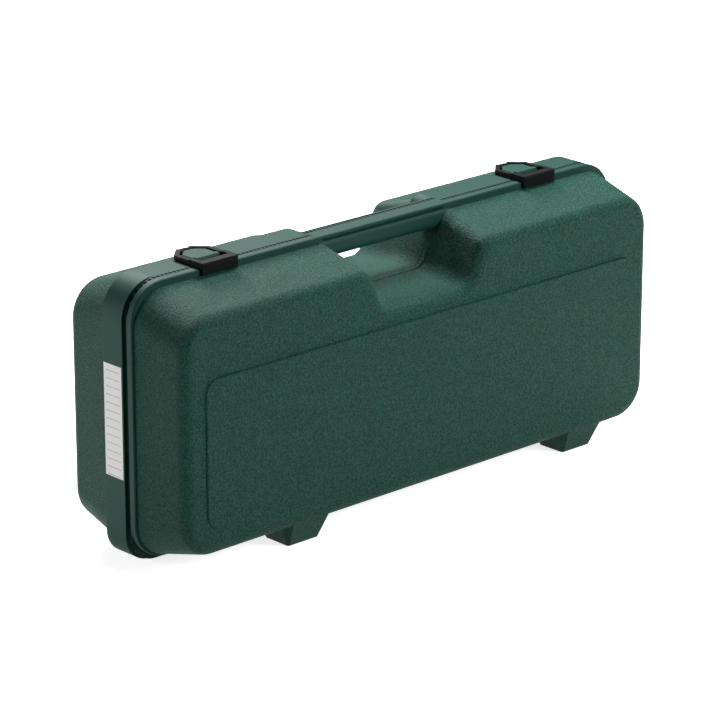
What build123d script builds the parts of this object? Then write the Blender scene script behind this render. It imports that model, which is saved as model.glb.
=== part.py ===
from build123d import *
import os
from math import radians, tan

# Blow-moulded carrying case for a large angle grinder, standing on its hinge side with the grip up.
# X runs along the case, +Y from the lid to the base shell, Z up. Millimetres.
# All depths below are measured from the parting plane; the finished parts are moved so that
# the origin lies under the middle of the whole case, on the surface that it stands on.

# Case outline, seen from the front
CASE_LENGTH = 640.0
RIM_TOP = 281.0
RIM_BOTTOM = 2.0
RIM_TOP_RADIUS = 38.0
BASE_BOTTOM_RADIUS = 28.0
LID_BOTTOM_RADIUS = 38.0

# Depths from the parting plane
LID_DEPTH = 75.0
BASE_DEPTH = 92.0
PARTING_GAP = 0.3
SEAM_INSET = 4.0
LID_SEAM_DEPTH = 3.3
BASE_SEAM_DEPTH = 4.0
LID_FLANGE_DEPTH = 10.7
BASE_BAND_DEPTH = 34.0

# Steps from the rims to the bodies, and the bodies' draft
LID_STEP_TOP = 6.0
LID_STEP_SIDE = 2.25
LID_STEP_BOTTOM = 1.8
BASE_STEP_TOP = 6.0
BASE_STEP_SIDE = 1.8
BASE_STEP_BOTTOM = 6.0
TOP_DRAFT = 14.0
BOTTOM_DRAFT = 14.0
LID_SIDE_DRAFT = 5.6
BASE_SIDE_DRAFT = 4.2
BODY_CORNER_RADIUS = 36.0
LID_EDGE_RADIUS = 12.0
BASE_EDGE_RADIUS = 14.0
RIM_EDGE = 1.0

# Raised field on the front of the lid
FIELD_MARGIN = 33.6
FIELD_BOTTOM = 50.1
FIELD_TOP = 198.9
FIELD_RADIUS = 15.0
FIELD_HEIGHT = 1.5
FIELD_EDGE = 1.0

# Grip recess, cut down from the top through both shells
RECESS_DEPTH = 59.5
RECESS_FALL = 6.5
RECESS_FLOOR_HALF = 52.0
RECESS_MOUTH_HALF = 80.0
RECESS_FLARE = 7.0
RECESS_FLOOR_RADIUS = 17.0
RECESS_LIP_RADIUS = 16.0

# Grip, moulded half on each shell; its joint line lies behind the parting plane
GRIP_HEIGHT = 24.0
GRIP_FRONT = 13.5
GRIP_BACK = 17.0
GRIP_JOINT = 9.0
GRIP_HALF_LENGTH = 88.0
GRIP_ROUNDING = 9.0
GRIP_GROOVE_DEPTH = 2.2
GRIP_STRIP_HEIGHT = 2.6
GRIP_GROOVE_WIDTH = 4.0
GRIP_SHOULDER_RADIUS = 3.5
GRIP_BACK_RADIUS = 4.0

# Moulded tray inside each shell
TRAY_RIM_WALL = 12.0
TRAY_FLOOR_WALL = 9.0
TRAY_RECESS_WALL = 9.0
TRAY_DRAFT = 9.0
TRAY_CORNER_RADIUS = 26.0
TRAY_EDGE = 5.0
CRADLE_INSETS = (105.0, 250.0)
CRADLE_THICKNESS = 16.0
CRADLE_AXIS_HEIGHT = 118.0
CRADLE_RADIUS = 47.0
CRADLE_FACE_DEPTH = 22.0
POST_INSET = 130.0
POST_HEIGHT = 140.0
POST_RADIUS = 10.9
POST_FOOT_RADIUS = 24.0
POST_FACE_DEPTH = 34.0
POST_FOOT_LENGTH = 16.0
POST_CHAMFER = 2.0

# Feet under both shells, staggered so that they pass each other when the case lies open
LID_FOOT_LEFT_INSET = 166.5
LID_FOOT_RIGHT_INSET = 95.0
FOOT_WIDTH = 39.0
FOOT_DRAFT = 24.0
FOOT_INNER_EDGE = 28.0
LID_FOOT_OUTER_EDGE = 61.0
BASE_FOOT_OUTER_EDGE = 77.0
FOOT_ROOT_HEIGHT = 30.0
FOOT_EDGE = 1.5
FOOT_CLEARANCE = 1.2

# Hinges along the bottom of the parting plane
HINGE_HEIGHT = 4.2
HINGE_INSET = 115.0
KNUCKLE_RADIUS = 4.0
KNUCKLE_PITCH = 20.0
KNUCKLES_PER_HINGE = 3
KNUCKLE_GAP = 0.4
PIN_RADIUS = 1.75
PIN_CLEARANCE = 0.05
HINGE_WEB_DEPTH = 10.0
FOLD_CLEARANCE = 0.4

# Snap latches
LATCH_INSET = 106.5
LATCH_WIDTH = 45.0
LATCH_RISE = 6.0
LATCH_JAW_THICKNESS = 3.0
LATCH_JAW_DROP = 11.6
LATCH_PLATE_BACK = 6.0
LATCH_PLATE_THICKNESS = 3.6
LATCH_WINDOW_FRONT = 5.0
LATCH_CORNER_RADIUS = 1.2
LATCH_RING_RISE = 5.0
LATCH_RING_CORNER = 3.0
LATCH_RING_THICKNESS = 4.2
LATCH_ARM_WIDTH = 5.0
LATCH_ARM_END = 27.5
LATCH_PIVOT_DEPTH = 38.0
LATCH_BAR_RADIUS = 2.8
LATCH_BAR_HALF = 8.5
LATCH_CLEARANCE = 0.3

# Lug and snap bearing that carry each latch on the base
LUG_FRONT = 3.0
LUG_BACK = 33.0
LUG_ROOT = 11.0
LUG_CORNER_RADIUS = 3.0
LUG_EDGE = 1.0
LUG_RISE = 4.6
LUG_SIDE_GAP = 2.4
LUG_RIDGE_HEIGHT = 0.9
LUG_RIDGE_DEPTH = 5.0
BEARING_HALF = 6.0
BEARING_WALL = 2.4
BEARING_SIDE_GAP = 1.0
BEARING_CLEARANCE = 0.08
BEARING_MOUTH = 1.3

# Stick-on label on the left end of the base band
LABEL_FRONT = 6.0
LABEL_WIDTH = 26.0
LABEL_BOTTOM = 87.0
LABEL_HEIGHT = 112.0
LABEL_THICKNESS = 0.3
LABEL_SEAT = 0.4

# Sizes that follow from the ones above
half_gap = PARTING_GAP / 2
half_length = CASE_LENGTH / 2
lid_foot_xs = (LID_FOOT_LEFT_INSET - half_length, half_length - LID_FOOT_RIGHT_INSET)
hinge_xs = (HINGE_INSET - half_length, 0.0, half_length - HINGE_INSET)
latch_xs = (LATCH_INSET - half_length, half_length - LATCH_INSET)
lid_rim_bottom = 2 * HINGE_HEIGHT - RIM_BOTTOM + FOLD_CLEARANCE
lid_body_bottom = lid_rim_bottom + LID_STEP_BOTTOM
lid_body_top = RIM_TOP - LID_STEP_TOP
base_body_bottom = RIM_BOTTOM + BASE_STEP_BOTTOM
base_body_top = RIM_TOP - BASE_STEP_TOP
lid_front = LID_DEPTH + FIELD_HEIGHT
origin_shift = (lid_front - BASE_DEPTH) / 2
recess_floor = RIM_TOP - RECESS_DEPTH
latch_front = -(LID_FLANGE_DEPTH + LATCH_CLEARANCE + LATCH_JAW_THICKNESS)
latch_top = RIM_TOP + LATCH_RISE
pivot_height = RIM_TOP + LATCH_RING_RISE - LATCH_BAR_RADIUS


def fall(run, degrees):
    """Height that a drafted face loses over a run."""
    return run * tan(radians(degrees))


def block(low, high):
    """Box between two opposite corners."""
    size = [b - a for a, b in zip(low, high)]
    middle = [(a + b) / 2 for a, b in zip(low, high)]
    return Pos(*middle) * Box(*size)


def rod(x, length, depth, height, radius):
    """Round bar along X, centred on x."""
    return Pos(x, depth, height) * Rot(0, 90, 0) * Cylinder(radius, length)


def rounded(outline, *roundings):
    """Face inside an outline, with a radius at each group of its corners."""
    face = make_face(Polyline(*outline, close=True))
    for corners, radius in roundings:
        spots = [face.vertices().sort_by_distance((a, b, 0))[0] for a, b in corners]
        face = fillet(spots, radius)
    return face


def recess_at(depth, margin=0.0):
    """Floor height, floor half width and mouth half width of the grip recess at a depth."""
    share = abs(depth) / LID_DEPTH
    floor = recess_floor - RECESS_FALL * share - margin
    flare = RECESS_FLARE * share
    return floor, RECESS_FLOOR_HALF + flare / 2 + margin, RECESS_MOUTH_HALF + flare + margin


def section(depth, half_width, bottom, top, top_radius, bottom_radius, recess):
    """Upright face at one depth: a rounded rectangle with the grip recess cut from its top."""
    floor, floor_half, mouth_half = recess
    lean = (mouth_half - floor_half) / (RIM_TOP - floor)
    mouth_half -= lean * (RIM_TOP - top)
    feet = [(-half_width, bottom), (half_width, bottom)]
    shoulders = [(half_width, top), (-half_width, top)]
    lips = [(mouth_half, top), (-mouth_half, top)]
    pocket = [(floor_half, floor), (-floor_half, floor)]
    outline = feet + [shoulders[0], lips[0], *pocket, lips[1], shoulders[1]]
    face = rounded(
        outline,
        (feet, bottom_radius),
        (shoulders, top_radius),
        (lips, RECESS_LIP_RADIUS),
        (pocket, RECESS_FLOOR_RADIUS),
    )
    return Plane((0, depth, 0), x_dir=(1, 0, 0), z_dir=(0, -1, 0)) * face


def slab(near, far, half_width, bottom, bottom_radius):
    """Straight stretch of rim between two depths."""
    recess = recess_at(near)
    face = section(near, half_width, bottom, RIM_TOP, RIM_TOP_RADIUS, bottom_radius, recess)
    return extrude(face, amount=abs(far - near), dir=(0, 1 if far > near else -1, 0))


def drafted(near, far, half_width, bottom, top, side_draft, corner_radius, edge_form, edge,
            recess_margin=0.0):
    """Form that narrows from the rim to a flat face, with the edge of that face taken off."""
    run = abs(far - near)
    faces = [
        section(
            depth,
            half_width - fall(lost, side_draft),
            bottom + fall(lost, BOTTOM_DRAFT),
            top - fall(lost, TOP_DRAFT),
            corner_radius,
            corner_radius,
            recess_at(depth, recess_margin),
        )
        for depth, lost in ((near, 0), (far, run))
    ]
    form = loft(faces, ruled=True)
    flat_face = form.faces().sort_by(Axis.Y)[-1 if far > near else 0]
    return edge_form(flat_face.outer_wire().edges(), edge)


def foot(x, outer, side):
    """Drafted foot; side is 1 under the base and -1 under the lid."""
    sole = Rectangle(FOOT_WIDTH, outer - FOOT_INNER_EDGE)
    sole = chamfer(sole.vertices(), FOOT_EDGE)
    middle = side * (outer + FOOT_INNER_EDGE) / 2
    return extrude(Pos(x, middle) * sole, amount=FOOT_ROOT_HEIGHT, taper=-FOOT_DRAFT)


def foot_pocket(x):
    """Room in the base for a foot of the lid, which folds up into it when the case lies open."""
    reach = 2 * HINGE_HEIGHT - RIM_BOTTOM
    half = FOOT_WIDTH / 2 + fall(reach, FOOT_DRAFT) + FOOT_CLEARANCE
    inner = FOOT_INNER_EDGE - fall(reach, FOOT_DRAFT) - FOOT_CLEARANCE
    outer = LID_FOOT_OUTER_EDGE + fall(reach, FOOT_DRAFT) + FOOT_CLEARANCE
    return block((x - half, inner, 0), (x + half, outer, 2 * HINGE_HEIGHT + FOLD_CLEARANCE))


def cradle(x, far):
    """Rib across a tray, hollowed for the round body of the tool."""
    face_depth = CRADLE_FACE_DEPTH if far > 0 else -CRADLE_FACE_DEPTH
    rib = block(
        (x - CRADLE_THICKNESS / 2, min(face_depth, far), 0),
        (x + CRADLE_THICKNESS / 2, max(face_depth, far), RIM_TOP),
    )
    return rib - rod(x, 2 * CRADLE_THICKNESS, 0, CRADLE_AXIS_HEIGHT, CRADLE_RADIUS)


def tray(far, bottom, top):
    """Inside of a shell, as the space that it leaves: drafted walls round two cradles."""
    space = drafted(
        near=0,
        far=far,
        half_width=half_length - TRAY_RIM_WALL,
        bottom=bottom + TRAY_RIM_WALL,
        top=top - TRAY_RIM_WALL,
        side_draft=TRAY_DRAFT,
        corner_radius=TRAY_CORNER_RADIUS,
        edge_form=chamfer,
        edge=TRAY_EDGE,
        recess_margin=TRAY_RECESS_WALL,
    )
    for inset in CRADLE_INSETS:
        space -= cradle(inset - half_length, far)
    return space


def disc_post(floor_depth):
    """Post that spare discs are kept on, standing out from the floor of the base's tray."""
    place = Pos(half_length - POST_INSET, floor_depth, POST_HEIGHT) * Rot(90, 0, 0)
    upright = (Align.CENTER, Align.CENTER, Align.MIN)
    stem = Cylinder(POST_RADIUS, floor_depth - POST_FACE_DEPTH, align=upright)
    stem = chamfer(stem.edges().sort_by(Axis.Z)[-1], POST_CHAMFER)
    skirt = Cone(POST_FOOT_RADIUS, POST_RADIUS, POST_FOOT_LENGTH, align=upright)
    return place * (stem + skirt)


def grip():
    """Bar across the recess: a strip level with the rim, a groove under it, and a rounded grip."""
    bottom = RIM_TOP - GRIP_HEIGHT
    strip_bottom = RIM_TOP - GRIP_STRIP_HEIGHT
    groove_height = strip_bottom - GRIP_GROOVE_WIDTH / 2
    back_edge = (GRIP_BACK, RIM_TOP)
    under = [(GRIP_BACK, bottom), (-GRIP_FRONT, bottom)]
    shoulder = (-GRIP_FRONT, strip_bottom - GRIP_GROOVE_WIDTH)
    groove = (-LID_FLANGE_DEPTH + GRIP_GROOVE_DEPTH, groove_height)
    strip = [
        (-LID_FLANGE_DEPTH, strip_bottom),
        (-LID_FLANGE_DEPTH, RIM_TOP - RIM_EDGE),
        (-LID_FLANGE_DEPTH + RIM_EDGE, RIM_TOP),
    ]
    profile = rounded(
        [*strip, back_edge, *under, shoulder, groove],
        (under, GRIP_ROUNDING),
        ([shoulder], GRIP_SHOULDER_RADIUS),
        ([back_edge], GRIP_BACK_RADIUS),
    )
    plane = Plane((-GRIP_HALF_LENGTH, 0, 0), x_dir=(0, 1, 0), z_dir=(1, 0, 0))
    return extrude(plane * profile, amount=2 * GRIP_HALF_LENGTH)


def grip_side(bar, side):
    """The part of the grip that one shell carries, on its own side of the grip's joint."""
    joint = GRIP_JOINT + side * half_gap
    edge = BASE_DEPTH if side > 0 else -LID_DEPTH
    low = (-half_length, min(joint, edge), 0)
    high = (half_length, max(joint, edge), RIM_TOP + GRIP_HEIGHT)
    return bar & block(low, high)


def knuckle_xs(first):
    """Middles of every other knuckle of all the hinges, from knuckle number first."""
    ends = KNUCKLE_PITCH * (KNUCKLES_PER_HINGE - 1) / 2
    picked = range(first, KNUCKLES_PER_HINGE, 2)
    return [x - ends + KNUCKLE_PITCH * i for x in hinge_xs for i in picked]


def knuckle(x):
    """Hinge knuckle round the fold line."""
    return rod(x, KNUCKLE_PITCH - KNUCKLE_GAP, 0, HINGE_HEIGHT, KNUCKLE_RADIUS)


def knuckle_room(x):
    """Space that the other shell leaves round a knuckle."""
    return rod(x, KNUCKLE_PITCH + KNUCKLE_GAP, 0, HINGE_HEIGHT, KNUCKLE_RADIUS + KNUCKLE_GAP)


def hinge_bores():
    """Holes through the knuckles for the hinge pins."""
    length = KNUCKLE_PITCH * KNUCKLES_PER_HINGE
    return [rod(x, length, 0, HINGE_HEIGHT, PIN_RADIUS + PIN_CLEARANCE) for x in hinge_xs]


def lug_outline():
    """Plan of the lug that fills the window of a latch, narrowing to the bearing behind it."""
    half = LATCH_WIDTH / 2 - LATCH_ARM_WIDTH - LUG_SIDE_GAP
    taper_start = LATCH_ARM_END - LATCH_ARM_WIDTH / 2
    front = [(-half, LUG_FRONT), (half, LUG_FRONT)]
    back = [(BEARING_HALF, LUG_BACK), (-BEARING_HALF, LUG_BACK)]
    outline = front + [(half, taper_start), *back, (-half, taper_start)]
    return rounded(outline, (front, LUG_CORNER_RADIUS))


def latch_seat():
    """Lug with its front ridge, and the snap bearing that the bar of the latch turns in."""
    root = RIM_TOP - LUG_ROOT
    lug = extrude(Pos(0, 0, root) * lug_outline(), amount=LUG_ROOT + LUG_RISE)
    lug = chamfer(lug.faces().sort_by(Axis.Z)[-1].outer_wire().edges(), LUG_EDGE)
    ridge_half = LATCH_WIDTH / 2 - LATCH_ARM_WIDTH - LUG_SIDE_GAP - LUG_EDGE
    ridge_middle = LUG_FRONT + LUG_EDGE + LUG_RIDGE_DEPTH / 2
    ridge = rod(0, 2 * ridge_half, ridge_middle, RIM_TOP + LUG_RISE, LUG_RIDGE_DEPTH / 2)
    ridge &= block(
        (-ridge_half, 0, root),
        (ridge_half, LATCH_PIVOT_DEPTH, RIM_TOP + LUG_RISE + LUG_RIDGE_HEIGHT),
    )
    bore = LATCH_BAR_RADIUS + BEARING_CLEARANCE
    bearing = block(
        (-BEARING_HALF, LUG_BACK - LUG_EDGE, root),
        (BEARING_HALF, LATCH_PIVOT_DEPTH + bore + BEARING_WALL, pivot_height + BEARING_MOUTH),
    )
    bar_room = rod(0, LATCH_WIDTH, LATCH_PIVOT_DEPTH, pivot_height, bore)
    return lug + ridge + (bearing - bar_room)


def latch_outline():
    """Plan of a latch: square in front, drawn in behind to the bar that it turns on."""
    half = LATCH_WIDTH / 2
    back = LATCH_PIVOT_DEPTH + LATCH_BAR_RADIUS
    rear = [(LATCH_BAR_HALF, back), (-LATCH_BAR_HALF, back)]
    haunches = [(half, LATCH_ARM_END), (-half, LATCH_ARM_END)]
    fronts = [(-half, latch_front), (half, latch_front)]
    outline = fronts + [haunches[0], *rear, haunches[1]]
    return rounded(outline, (rear + haunches, LATCH_RING_CORNER), (fronts, LATCH_CORNER_RADIUS))


def latch(x):
    """Snap latch: a jaw over the lid's flange, two arms, and the bar that it turns on."""
    half = LATCH_WIDTH / 2
    plan = latch_outline()
    window = offset(plan, amount=-LATCH_ARM_WIDTH, kind=Kind.INTERSECTION)
    window &= Pos(0, half_length - LATCH_WINDOW_FRONT) * Rectangle(CASE_LENGTH, CASE_LENGTH)
    ring_bottom = RIM_TOP + LATCH_RING_RISE - LATCH_RING_THICKNESS
    ring = extrude(Pos(0, 0, ring_bottom) * (plan - window), amount=LATCH_RING_THICKNESS)
    plate = block(
        (-half, latch_front, latch_top - LATCH_PLATE_THICKNESS),
        (half, LATCH_PLATE_BACK, latch_top),
    )
    plate += block(
        (-half, latch_front, latch_top - LATCH_JAW_DROP),
        (half, latch_front + LATCH_JAW_THICKNESS, latch_top),
    )
    front_edges = plate.edges().filter_by(Axis.Z).sort_by(Axis.Y)[:2]
    front_edges += plate.edges().filter_by(Axis.X).group_by(Axis.Z)[-1].sort_by(Axis.Y)[:1]
    plate = fillet(front_edges, LATCH_CORNER_RADIUS)
    plate -= extrude(Pos(0, 0, RIM_TOP) * window, amount=LATCH_RISE)
    bearing_room = BEARING_HALF + BEARING_SIDE_GAP
    ring -= block(
        (-bearing_room, LUG_BACK - LUG_EDGE, RIM_TOP - LATCH_RISE),
        (bearing_room, 2 * LATCH_PIVOT_DEPTH, latch_top),
    )
    bar = rod(0, 2 * LATCH_BAR_HALF, LATCH_PIVOT_DEPTH, pivot_height, LATCH_BAR_RADIUS)
    return Pos(x, 0, 0) * (ring + plate + bar)


def base_shell():
    """Rear half: rim band, drafted body, tray, feet, latch seats and its half of the grip."""
    shell = slab(half_gap, BASE_SEAM_DEPTH, half_length - SEAM_INSET, RIM_BOTTOM,
                 BASE_BOTTOM_RADIUS)
    band = slab(BASE_SEAM_DEPTH, BASE_BAND_DEPTH, half_length, RIM_BOTTOM, BASE_BOTTOM_RADIUS)
    back_edges = band.faces().sort_by(Axis.Y)[-1].outer_wire().edges()
    shell += chamfer(back_edges, RIM_EDGE)
    shell += drafted(
        near=BASE_BAND_DEPTH - RIM_EDGE,
        far=BASE_DEPTH,
        half_width=half_length - BASE_STEP_SIDE,
        bottom=base_body_bottom,
        top=base_body_top,
        side_draft=BASE_SIDE_DRAFT,
        corner_radius=BODY_CORNER_RADIUS,
        edge_form=fillet,
        edge=BASE_EDGE_RADIUS,
    )
    for x in lid_foot_xs:
        shell += foot(-x, BASE_FOOT_OUTER_EDGE, 1)
        shell -= foot_pocket(x)
    for x in latch_xs:
        shell += Pos(x, 0, 0) * latch_seat()
    floor_depth = BASE_DEPTH - TRAY_FLOOR_WALL
    shell -= tray(floor_depth, base_body_bottom, base_body_top) - disc_post(floor_depth)
    reach = GRIP_HALF_LENGTH + PARTING_GAP
    shell -= block((-reach, 0, RIM_TOP - GRIP_HEIGHT - PARTING_GAP),
                   (reach, GRIP_JOINT + half_gap, RIM_TOP + GRIP_HEIGHT))
    shell += grip_side(grip(), 1)
    for x in knuckle_xs(1):
        shell -= knuckle_room(x)
        half = (KNUCKLE_PITCH + KNUCKLE_GAP) / 2
        shell -= block((x - half, 0, 0),
                       (x + half, HINGE_WEB_DEPTH + KNUCKLE_GAP, HINGE_HEIGHT + FOLD_CLEARANCE))
    for x in knuckle_xs(0):
        shell += knuckle(x)
    for bore in hinge_bores():
        shell -= bore
    shell -= label_plate(0)
    return shell


def lid_shell():
    """Front half: flange, drafted body with its raised field, tray, feet and its half of the grip."""
    shell = slab(-half_gap, -LID_SEAM_DEPTH, half_length - SEAM_INSET, lid_rim_bottom,
                 LID_BOTTOM_RADIUS)
    flange = slab(-LID_SEAM_DEPTH, -LID_FLANGE_DEPTH, half_length, lid_rim_bottom,
                  LID_BOTTOM_RADIUS)
    front_edges = flange.faces().sort_by(Axis.Y)[0].outer_wire().edges()
    shell += chamfer(front_edges, RIM_EDGE)
    shell += drafted(
        near=-LID_FLANGE_DEPTH + RIM_EDGE,
        far=-LID_DEPTH,
        half_width=half_length - LID_STEP_SIDE,
        bottom=lid_body_bottom,
        top=lid_body_top,
        side_draft=LID_SIDE_DRAFT,
        corner_radius=BODY_CORNER_RADIUS,
        edge_form=fillet,
        edge=LID_EDGE_RADIUS,
    )
    field_height = FIELD_TOP - FIELD_BOTTOM
    field = fillet(Rectangle(2 * (half_length - FIELD_MARGIN), field_height).vertices(), FIELD_RADIUS)
    place = Plane((0, -LID_DEPTH, FIELD_BOTTOM + field_height / 2), x_dir=(1, 0, 0), z_dir=(0, -1, 0))
    raised = extrude(place * field, amount=FIELD_HEIGHT)
    shell += chamfer(raised.faces().sort_by(Axis.Y)[0].outer_wire().edges(), FIELD_EDGE)
    for x in lid_foot_xs:
        shell += foot(x, LID_FOOT_OUTER_EDGE, -1)
    shell -= tray(-(LID_DEPTH - TRAY_FLOOR_WALL), lid_body_bottom, lid_body_top)
    shell += grip_side(grip(), -1)
    for x in knuckle_xs(0):
        shell -= knuckle_room(x)
    for x in knuckle_xs(1):
        half = (KNUCKLE_PITCH - KNUCKLE_GAP) / 2
        shell += knuckle(x)
        shell += block((x - half, -HINGE_WEB_DEPTH, HINGE_HEIGHT),
                       (x + half, 0, lid_rim_bottom + LID_STEP_BOTTOM))
    for bore in hinge_bores():
        shell -= bore
    return shell


def hinge_pin(x):
    """Steel pin through the knuckles of one hinge."""
    length = KNUCKLE_PITCH * KNUCKLES_PER_HINGE - KNUCKLE_GAP
    return rod(x, length, 0, HINGE_HEIGHT, PIN_RADIUS)


def label_plate(sunk):
    """Plate of the label's outline, from a little way into the end of the band to its seat."""
    left = -half_length
    return block(
        (left + sunk, LABEL_FRONT, LABEL_BOTTOM),
        (left + LABEL_SEAT, LABEL_FRONT + LABEL_WIDTH, LABEL_BOTTOM + LABEL_HEIGHT),
    )


pieces = {
    "base_shell": base_shell(),
    "lid_shell": lid_shell(),
    "left_latch": latch(latch_xs[0]),
    "right_latch": latch(latch_xs[1]),
    "left_hinge_pin": hinge_pin(hinge_xs[0]),
    "middle_hinge_pin": hinge_pin(hinge_xs[1]),
    "right_hinge_pin": hinge_pin(hinge_xs[2]),
    "end_label": label_plate(LABEL_SEAT - LABEL_THICKNESS),
}

os.makedirs("parts", exist_ok=True)
for name, piece in pieces.items():
    export_step(Pos(0, origin_shift, 0) * piece, f"parts/{name}.step")
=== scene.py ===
import math
import bpy
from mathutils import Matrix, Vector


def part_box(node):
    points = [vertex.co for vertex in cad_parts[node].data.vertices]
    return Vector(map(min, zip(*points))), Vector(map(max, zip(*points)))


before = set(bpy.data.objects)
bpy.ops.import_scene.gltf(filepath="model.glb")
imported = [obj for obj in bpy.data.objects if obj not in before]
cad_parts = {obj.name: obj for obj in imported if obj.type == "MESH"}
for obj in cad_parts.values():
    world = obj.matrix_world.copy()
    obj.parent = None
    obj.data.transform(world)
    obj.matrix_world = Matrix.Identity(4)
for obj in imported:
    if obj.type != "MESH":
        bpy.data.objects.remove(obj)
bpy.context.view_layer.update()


# The two shells of the case, each blown in one piece from a hose of molten polyethylene.
# The bodies carry the coarse spark grain of the mould; the rims, the band, the grip and the
# feet came from polished steel and stay nearly smooth. Depths run from the parting plane.
GRAIN_MM = 1.6
GRAIN_DEPTH_MM = 2.2
FINE_GRAIN_MM = 0.9
FINE_GRAIN_SHARE = 0.05
FLANGE_DEPTH_MM = 11.2
BAND_DEPTH_MM = 34.2
GRIP_FRONT_MM = 14.3
GRIP_HALF_MM = 88.0
GRIP_UNDERSIDE_MM = 256.5
RECESS_FLOOR_MM = 214.0
FOOT_TOP_MM = 8.0
SEAM_HALF_MM = 2.4
SEAM_STEP_MM = 5.0
GRIP_JOINT_MM = 9.0
OUTER_FACE_TILT = 0.5
SOFT_EDGE_MM = 1.0
mm = 0.001
pin_low, pin_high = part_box("middle_hinge_pin")
parting = (pin_low[1] + pin_high[1]) / 2


def srgb(hex_colour):
    """Linear colour for an sRGB hex value."""
    channels = [int(hex_colour[i:i + 2], 16) / 255 for i in (1, 3, 5)]
    return [c / 12.92 if c <= 0.04045 else ((c + 0.055) / 1.055) ** 2.4 for c in channels] + [1.0]


def add_node(tree, kind, inputs=(), **settings):
    """Adds a node with its settings; inputs are values or the outputs of other nodes."""
    node = tree.nodes.new(kind)
    for name, value in settings.items():
        setattr(node, name, value)
    for socket, value in dict(inputs).items():
        if isinstance(value, bpy.types.NodeSocket):
            tree.links.new(value, node.inputs[socket])
        else:
            node.inputs[socket].default_value = value
    return node


def new_material(name):
    """Node material without any nodes, and its tree."""
    material = bpy.data.materials.new(name)
    material.use_nodes = True
    material.node_tree.nodes.clear()
    return material, material.node_tree


def coat(node_name, material):
    """Gives a CAD node one material."""
    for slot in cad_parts[node_name].material_slots:
        slot.material = material


# High-density polyethylene, coloured through and blow moulded against spark-eroded steel: a low
# waxy sheen, and a pebbled grain that breaks the light up into small specks. The real grain is
# about 1 mm from peak to peak; it is drawn coarser and much deeper, so that it still shows.
shell_plastic, tree = new_material("blow_moulded_polyethylene_green")
texture = add_node(tree, "ShaderNodeTexCoord").outputs
place = texture["Object"]
axes = add_node(tree, "ShaderNodeSeparateXYZ", {"Vector": place}).outputs
from_middle = add_node(tree, "ShaderNodeMath", {0: axes["X"]}, operation="ABSOLUTE").outputs[0]
depth = add_node(tree, "ShaderNodeMath", {0: axes["Y"], 1: parting}, operation="SUBTRACT").outputs[0]

# The grained faces lie before the flange and behind the band, off the grip and above the feet,
# and all through the recess under the grip.
on_lid = add_node(tree, "ShaderNodeMath", {
    0: depth, 1: -FLANGE_DEPTH_MM * mm}, operation="LESS_THAN").outputs[0]
on_base = add_node(tree, "ShaderNodeMath", {
    0: depth, 1: BAND_DEPTH_MM * mm}, operation="GREATER_THAN").outputs[0]
beside_grip = add_node(tree, "ShaderNodeMath", {
    0: from_middle, 1: GRIP_HALF_MM * mm}, operation="GREATER_THAN").outputs[0]
under_grip = add_node(tree, "ShaderNodeMath", {
    0: axes["Z"], 1: GRIP_UNDERSIDE_MM * mm}, operation="LESS_THAN").outputs[0]
before_grip = add_node(tree, "ShaderNodeMath", {
    0: depth, 1: -GRIP_FRONT_MM * mm}, operation="LESS_THAN").outputs[0]
above_feet = add_node(tree, "ShaderNodeMath", {
    0: axes["Z"], 1: FOOT_TOP_MM * mm}, operation="GREATER_THAN").outputs[0]
on_body = add_node(tree, "ShaderNodeMath", {0: on_lid, 1: on_base}, operation="MAXIMUM").outputs[0]
round_grip = add_node(tree, "ShaderNodeMath", {
    0: beside_grip, 1: under_grip}, operation="MAXIMUM").outputs[0]
off_grip = add_node(tree, "ShaderNodeMath", {
    0: round_grip, 1: before_grip}, operation="MAXIMUM").outputs[0]
grained = add_node(tree, "ShaderNodeMath", {0: on_body, 1: off_grip}, operation="MULTIPLY").outputs[0]
grained = add_node(tree, "ShaderNodeMath", {0: grained, 1: above_feet}, operation="MULTIPLY").outputs[0]
over_floor = add_node(tree, "ShaderNodeMath", {
    0: axes["Z"], 1: RECESS_FLOOR_MM * mm}, operation="GREATER_THAN").outputs[0]
in_recess = add_node(tree, "ShaderNodeMath", {
    0: under_grip, 1: beside_grip}, operation="GREATER_THAN").outputs[0]
grained_recess = add_node(tree, "ShaderNodeMath", {
    0: in_recess, 1: over_floor}, operation="MULTIPLY").outputs[0]
grained = add_node(tree, "ShaderNodeMath", {
    0: grained, 1: grained_recess}, operation="MAXIMUM").outputs[0]

# The pinch-off seam: painted shade of the gap where the two shells meet, a dark dotted line. It is
# drawn wider than the real gap, so that it shows, with a third of each step left open. Along the grip
# it lies at the grip's own joint. In the recess and on the flat parting faces it isn't drawn. The mask
# takes in the mouths of the trays and the knuckles too, where the open case shows a little of it.
facing = add_node(tree, "ShaderNodeSeparateXYZ", {"Vector": texture["Normal"]}).outputs
facing = add_node(tree, "ShaderNodeMath", {0: facing["Y"]}, operation="ABSOLUTE").outputs[0]
upright = add_node(tree, "ShaderNodeMath", {
    0: facing, 1: OUTER_FACE_TILT}, operation="LESS_THAN").outputs[0]
joint = add_node(tree, "ShaderNodeMapRange", {
    "Value": round_grip, "To Min": GRIP_JOINT_MM * mm, "To Max": 0.0}).outputs["Result"]
from_seam = add_node(tree, "ShaderNodeMath", {0: depth, 1: joint}, operation="SUBTRACT").outputs[0]
from_seam = add_node(tree, "ShaderNodeMath", {0: from_seam}, operation="ABSOLUTE").outputs[0]
at_seam = add_node(tree, "ShaderNodeMath", {
    0: from_seam, 1: SEAM_HALF_MM * mm}, operation="LESS_THAN").outputs[0]
along_seam = add_node(tree, "ShaderNodeMath", {
    0: from_middle, 1: SEAM_STEP_MM * mm}, operation="MODULO").outputs[0]
dotted = add_node(tree, "ShaderNodeMath", {
    0: along_seam, 1: SEAM_STEP_MM * mm / 3}, operation="GREATER_THAN").outputs[0]
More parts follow.
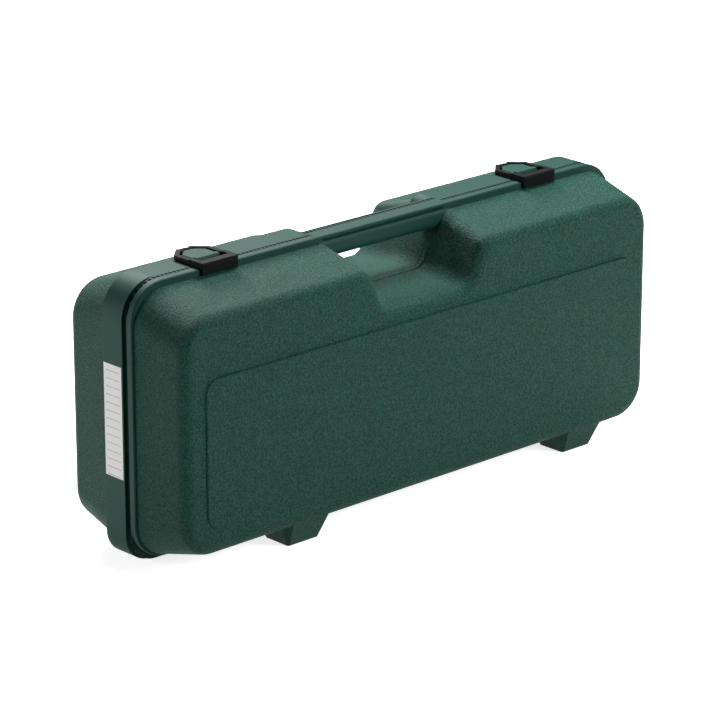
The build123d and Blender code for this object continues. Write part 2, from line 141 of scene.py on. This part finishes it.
# Where the painted shade of the gap lies: dots along the seam, on upright faces, outside the recess.
gap_shade = add_node(tree, "ShaderNodeMath", {0: at_seam, 1: dotted}, operation="MULTIPLY").outputs[0]
gap_shade = add_node(tree, "ShaderNodeMath", {0: gap_shade, 1: upright}, operation="MULTIPLY").outputs[0]
gap_shade = add_node(tree, "ShaderNodeMath", {0: gap_shade, 1: in_recess}, operation="GREATER_THAN").outputs[0]

pebbles = add_node(tree, "ShaderNodeTexNoise", {
    "Vector": place, "Scale": 1000 / GRAIN_MM, "Detail": 3.0, "Roughness": 0.6}).outputs["Fac"]
specks = add_node(tree, "ShaderNodeTexNoise", {
    "Vector": place, "Scale": 1000 / FINE_GRAIN_MM, "Detail": 1.0}).outputs["Fac"]
relief = add_node(tree, "ShaderNodeMath", {0: pebbles, 1: grained}, operation="MULTIPLY").outputs[0]
fine_relief = add_node(tree, "ShaderNodeMath", {
    0: specks, 1: FINE_GRAIN_SHARE}, operation="MULTIPLY").outputs[0]
relief = add_node(tree, "ShaderNodeMath", {0: relief, 1: fine_relief}, operation="ADD").outputs[0]
soft_edges = add_node(tree, "ShaderNodeBevel", {"Radius": SOFT_EDGE_MM * mm}, samples=4).outputs["Normal"]
bump = add_node(tree, "ShaderNodeBump", {
    "Height": relief, "Strength": 1.0, "Distance": GRAIN_DEPTH_MM * mm,
    "Normal": soft_edges}).outputs["Normal"]
grain_tone = add_node(tree, "ShaderNodeValToRGB", {"Fac": pebbles})
grain_tone.color_ramp.elements[0].position = 0.4
grain_tone.color_ramp.elements[0].color = srgb("#0b3027")
grain_tone.color_ramp.elements[1].position = 0.7
grain_tone.color_ramp.elements[1].color = srgb("#255f51")
tone = add_node(tree, "ShaderNodeMix", {
    "Factor": grained, 6: srgb("#103b32"), 7: grain_tone.outputs["Color"]}, data_type="RGBA").outputs[2]
# Painted shade of the seam's gap: near black, and fully rough below, so that no sheen lies over it.
tone = add_node(tree, "ShaderNodeMix", {
    "Factor": gap_shade, 6: tone, 7: srgb("#010504")}, data_type="RGBA").outputs[2]
gloss = add_node(tree, "ShaderNodeMapRange", {
    "Value": grained, "To Min": 0.58, "To Max": 0.6}).outputs["Result"]
gloss = add_node(tree, "ShaderNodeMath", {0: gloss, 1: gap_shade}, operation="MAXIMUM").outputs[0]
surface = add_node(tree, "ShaderNodeBsdfPrincipled", {
    "Base Color": tone, "Roughness": gloss, "Normal": bump, "IOR": 1.52,
    "Specular IOR Level": 0.16})
add_node(tree, "ShaderNodeOutputMaterial", {"Surface": surface.outputs["BSDF"]})

for shell in ("base_shell", "lid_shell"):
    coat(shell, shell_plastic)


# The two snap latches over the rim, injection moulded in black polyamide with a finely etched
# face. Each is a frame that turns on its own rear bar and pulls its front jaw over the flange.
LATCH_GRAIN_MM = 0.5
LATCH_GRAIN_DEPTH_MM = 0.05
LATCH_SOFT_EDGE_MM = 0.7

# Polyamide, etched tool: near black, a dull satin, its tone varying a little with the etch.
latch_plastic, tree = new_material("moulded_polyamide_black")
place = add_node(tree, "ShaderNodeTexCoord").outputs["Object"]
etch = add_node(tree, "ShaderNodeTexNoise", {
    "Vector": place, "Scale": 1000 / LATCH_GRAIN_MM, "Detail": 2.0}).outputs["Fac"]
soft_edges = add_node(tree, "ShaderNodeBevel", {
    "Radius": LATCH_SOFT_EDGE_MM * mm}, samples=4).outputs["Normal"]
bump = add_node(tree, "ShaderNodeBump", {
    "Height": etch, "Strength": 1.0, "Distance": LATCH_GRAIN_DEPTH_MM * mm,
    "Normal": soft_edges}).outputs["Normal"]
tone = add_node(tree, "ShaderNodeMix", {
    "Factor": etch, 6: srgb("#080a0a"), 7: srgb("#0f1111")}, data_type="RGBA").outputs[2]
surface = add_node(tree, "ShaderNodeBsdfPrincipled", {
    "Base Color": tone, "Roughness": 0.55, "Normal": bump, "IOR": 1.53,
    "Specular IOR Level": 0.07})
add_node(tree, "ShaderNodeOutputMaterial", {"Surface": surface.outputs["BSDF"]})

for latch in ("left_latch", "right_latch"):
    coat(latch, latch_plastic)


# The three hinge pins, cut from drawn steel wire and pushed through the moulded knuckles.
# They show only at the ends of each hinge, under the case.
DRAW_LINE_MM = 0.12
DRAW_STRETCH = 0.02

# Drawn low-carbon steel: bright, with fine lines along the wire from the die.
pin_steel, tree = new_material("drawn_steel_wire")
place = add_node(tree, "ShaderNodeTexCoord").outputs["Object"]
along = add_node(tree, "ShaderNodeMapping", {
    "Vector": place, "Scale": (DRAW_STRETCH, 1.0, 1.0)}).outputs["Vector"]
lines = add_node(tree, "ShaderNodeTexNoise", {
    "Vector": along, "Scale": 1000 / DRAW_LINE_MM, "Detail": 2.0}).outputs["Fac"]
polish = add_node(tree, "ShaderNodeMapRange", {
    "Value": lines, "To Min": 0.22, "To Max": 0.4}).outputs["Result"]
surface = add_node(tree, "ShaderNodeBsdfPrincipled", {
    "Base Color": srgb("#b9bbbd"), "Metallic": 1.0, "Roughness": polish})
add_node(tree, "ShaderNodeOutputMaterial", {"Surface": surface.outputs["BSDF"]})

for pin in ("left_hinge_pin", "middle_hinge_pin", "right_hinge_pin"):
    coat(pin, pin_steel)


# The label on the left end of the band, a die-cut white film stuck down in its shallow seat.
# It is left blank but for ruled lines, as a form to be filled in.
label_low, label_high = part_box("end_label")
LINE_PITCH_MM = 8.0
LINE_WIDTH_MM = 0.6
LABEL_MARGIN_MM = 3.0

# Coated polypropylene film: bright white, smooth, with a slight shine.
label_film, tree = new_material("coated_white_film")
place = add_node(tree, "ShaderNodeTexCoord").outputs["Object"]
axes = add_node(tree, "ShaderNodeSeparateXYZ", {"Vector": place}).outputs
height = add_node(tree, "ShaderNodeMath", {
    0: axes["Z"], 1: LINE_PITCH_MM * mm}, operation="MODULO").outputs[0]
ruled = add_node(tree, "ShaderNodeMath", {
    0: height, 1: LINE_WIDTH_MM * mm}, operation="LESS_THAN").outputs[0]
middle = (label_low[1] + label_high[1]) / 2
margin = (label_high[1] - label_low[1]) / 2 - LABEL_MARGIN_MM * mm
sideways = add_node(tree, "ShaderNodeMath", {0: axes["Y"], 1: middle}, operation="SUBTRACT").outputs[0]
sideways = add_node(tree, "ShaderNodeMath", {0: sideways}, operation="ABSOLUTE").outputs[0]
within = add_node(tree, "ShaderNodeMath", {0: sideways, 1: margin}, operation="LESS_THAN").outputs[0]
ruled = add_node(tree, "ShaderNodeMath", {0: ruled, 1: within}, operation="MULTIPLY").outputs[0]
tone = add_node(tree, "ShaderNodeMix", {
    "Factor": ruled, 6: srgb("#f6f5f4"), 7: srgb("#9a9d9c")}, data_type="RGBA").outputs[2]
surface = add_node(tree, "ShaderNodeBsdfPrincipled", {"Base Color": tone, "Roughness": 0.35})
add_node(tree, "ShaderNodeOutputMaterial", {"Surface": surface.outputs["BSDF"]})
coat("end_label", label_film)


# A plain pale floor under the case, wide enough to fill the view, and a white surround. To the
# camera the floor glows near white by itself, so that it stays white and keeps a light shadow.
FLOOR_GLOW = 0.8
FLOOR_SIZE_M = 30.0
ROOM_LIGHT = 0.06
floor_material, tree = new_material("pale_floor")
rays = add_node(tree, "ShaderNodeLightPath").outputs
seen = add_node(tree, "ShaderNodeMath", {
    0: rays["Is Camera Ray"], 1: rays["Is Glossy Ray"]}, operation="MAXIMUM").outputs[0]
tone = add_node(tree, "ShaderNodeMix", {
    "Factor": seen, 6: srgb("#8c8c8a"), 7: srgb("#f3f3f2")}, data_type="RGBA").outputs[2]
own_light = add_node(tree, "ShaderNodeMath", {0: seen, 1: FLOOR_GLOW}, operation="MULTIPLY").outputs[0]
surface = add_node(tree, "ShaderNodeBsdfPrincipled", {
    "Base Color": tone, "Roughness": 0.9, "Specular IOR Level": 0.0,
    "Emission Color": srgb("#ffffff"), "Emission Strength": own_light})
add_node(tree, "ShaderNodeOutputMaterial", {"Surface": surface.outputs["BSDF"]})
bpy.ops.mesh.primitive_plane_add(size=FLOOR_SIZE_M)
floor = bpy.context.object
floor.name = "floor"
floor.data.materials.append(floor_material)

world = bpy.data.worlds.new("studio")
bpy.context.scene.world = world
world.use_nodes = True
tree = world.node_tree
tree.nodes.clear()
to_camera = add_node(tree, "ShaderNodeLightPath").outputs["Is Camera Ray"]
glow = add_node(tree, "ShaderNodeMapRange", {
    "Value": to_camera, "To Min": ROOM_LIGHT, "To Max": 1.0}).outputs["Result"]
sky = add_node(tree, "ShaderNodeBackground", {"Color": srgb("#ffffff"), "Strength": glow})
add_node(tree, "ShaderNodeOutputWorld", {"Surface": sky.outputs["Background"]})


# Four soft boxes: one overhead and one behind that light the top and the slope of the lid from
# the right, so that the recess stays dark, one for the front, and one for the left end.
def soft_box(name, position, target, size, watts):
    """Square area light at a position, turned towards a target."""
    data = bpy.data.lights.new(name, "AREA")
    data.energy = watts
    data.size = size
    lamp = bpy.data.objects.new(name, data)
    bpy.context.collection.objects.link(lamp)
    lamp.location = position
    aim = [t - p for t, p in zip(target, position)]
    lamp.rotation_euler = (math.atan2(math.hypot(aim[0], aim[1]), -aim[2]), 0.0,
                           math.atan2(-aim[0], aim[1]))


soft_box("overhead", (0.6, 0.3, 1.5), (0.0, 0.0, 0.2), 0.6, 32.0)
soft_box("behind_right", (0.5, 1.6, 1.6), (-0.1, 0.0, 0.25), 0.8, 48.0)
soft_box("front_right", (1.2, -2.7, 1.5), (0.0, 0.0, 0.15), 1.2, 76.0)
soft_box("behind_left", (-2.3, 1.5, 0.6), (-0.2, 0.0, 0.15), 0.9, 30.0)


# The camera stands as in the photograph: left of the middle, looking down from a long way off.
CAMERA_PLACE_M = (-2.3325, -2.4881, 1.3051)
CAMERA_TURN = 42.97
CAMERA_TILT = 18.99
CAMERA_LENS_MM = 181.7
camera_data = bpy.data.cameras.new("camera")
camera_data.lens = CAMERA_LENS_MM
camera_data.sensor_width = 36.0
camera = bpy.data.objects.new("camera", camera_data)
bpy.context.collection.objects.link(camera)
camera.location = CAMERA_PLACE_M
camera.rotation_euler = (math.radians(90.0 - CAMERA_TILT), 0.0, math.radians(-CAMERA_TURN))
bpy.context.scene.camera = camera
bpy.context.scene.view_settings.view_transform = "Standard"
